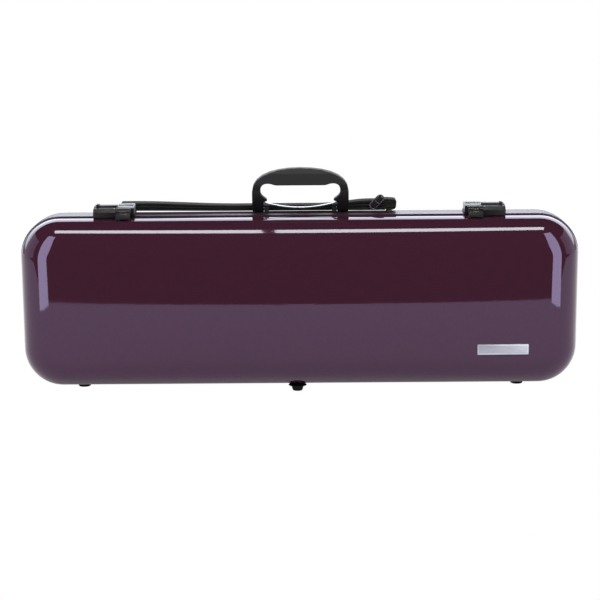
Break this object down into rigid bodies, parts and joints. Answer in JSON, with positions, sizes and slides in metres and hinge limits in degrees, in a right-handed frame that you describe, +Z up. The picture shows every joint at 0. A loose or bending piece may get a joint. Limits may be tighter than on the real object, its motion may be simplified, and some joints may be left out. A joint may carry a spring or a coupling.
{
  "type": "violin case",
  "caption": "Oblong hard-shell violin case with hinged lid, flip latches, folding handle, feet, stowed carrying strap and fitted interior.",
  "frame": {"origin": "on the floor plane at the foot soles, midway along the length and midway through the thickness", "axes": "+X along the length, to the right as seen facing the lid; -Y out of the lid face; +Z up from the hinge edge to the handle"},
  "size_m": [0.8, 0.1334, 0.318],
  "materials": {
    "shell": "high gloss purple with a fine metallic flake",
    "black_plastic": "fine grained satin black",
    "rubber": "matt black",
    "bright_metal": "satin plated",
    "steel": "zinc plated",
    "dark_metal": "dark semi gloss",
    "nameplate": "brushed with bright bevelled edge, blank",
    "webbing": "ribbed woven webbing",
    "plush": "short pile velour",
    "lining": "short pile velour over foam",
    "clear_plastic": "translucent"
  },
  "bodies": {
    "base": {"base_shell": "shell", "rim_seal": "rubber", "inner_valance": "black_plastic", "foam_insert": "plush", "lower_body_pad": "lining", "upper_body_pad": "lining", "neck_cradle": "lining", "neck_strap": "webbing", "string_tube": "clear_plastic", "string_tube_cap": "black_plastic", "hinge_base_leaf_1": "steel", "hinge_base_leaf_2": "steel", "hinge_base_leaf_3": "steel", "hinge_pin_1": "steel", "hinge_pin_2": "steel", "hinge_pin_3": "steel", "handle_mount": "black_plastic", "handle_pin_left": "steel", "handle_pin_right": "steel", "latch_housing_left": "black_plastic", "latch_housing_right": "black_plastic", "latch_plate_left": "bright_metal", "latch_plate_right": "bright_metal", "latch_pin_left": "steel", "latch_pin_right": "steel", "rear_foot_left": "rubber", "rear_foot_right": "rubber", "rear_foot_screw_left": "steel", "rear_foot_screw_right": "steel", "strap_lower": "webbing", "strap_middle": "webbing", "strap_upper": "webbing", "strap_bundle": "webbing", "strap_slider": "dark_metal", "strap_anchor_left": "bright_metal", "strap_anchor_right": "bright_metal"},
    "lid": {"lid_shell": "shell", "lid_lining": "lining", "hinge_lid_leaf_1": "steel", "hinge_lid_leaf_2": "steel", "hinge_lid_leaf_3": "steel", "latch_keeper_left": "bright_metal", "latch_keeper_right": "bright_metal", "front_foot": "rubber", "front_foot_screw": "steel", "nameplate": "nameplate", "spinner_base_upper": "black_plastic", "spinner_base_lower": "black_plastic", "spinner_rivet_upper": "steel", "spinner_rivet_lower": "steel", "bow_tip_pocket_upper": "plush", "bow_tip_pocket_lower": "plush"},
    "handle": {"handle": "black_plastic", "handle_strip": "bright_metal"},
    "latch_left": {"latch_clip_left": "dark_metal"},
    "latch_right": {"latch_clip_right": "dark_metal"},
    "compartment": {"compartment_lid": "plush", "compartment_tab": "webbing"},
    "spinner_upper": {"bow_spinner_upper": "black_plastic"},
    "spinner_lower": {"bow_spinner_lower": "black_plastic"}
  },
  "joints": [
    {"name": "lid_hinge", "type": "hinge", "parent": "base", "child": "lid", "pos_m": [0, -0.0115, 0.0096], "axis": [1, 0, 0], "range_deg": [0, 100]},
    {"name": "handle_fold", "type": "hinge", "parent": "base", "child": "handle", "pos_m": [0, 0.0137, 0.2595], "axis": [1, 0, 0], "range_deg": [0, 72]},
    {"name": "latch_left_flip", "type": "hinge", "parent": "base", "child": "latch_left", "pos_m": [-0.2502, -0.0093, 0.2624], "axis": [-1, 0, 0], "range_deg": [0, 95]},
    {"name": "latch_right_flip", "type": "hinge", "parent": "base", "child": "latch_right", "pos_m": [0.2502, -0.0093, 0.2624], "axis": [-1, 0, 0], "range_deg": [0, 95]},
    {"name": "compartment_hinge", "type": "hinge", "parent": "base", "child": "compartment", "pos_m": [0.126, -0.0061, 0.179], "axis": [1, 0, 0], "range_deg": [0, 90]},
    {"name": "bow_spinner_upper_turn", "type": "hinge", "parent": "lid", "child": "spinner_upper", "pos_m": [-0.285, -0.04789, 0.175], "axis": [0, 1, 0], "range_deg": [0, 90]},
    {"name": "bow_spinner_lower_turn", "type": "hinge", "parent": "lid", "child": "spinner_lower", "pos_m": [-0.285, -0.04789, 0.085], "axis": [0, 1, 0], "range_deg": [0, 90]}
  ]
}
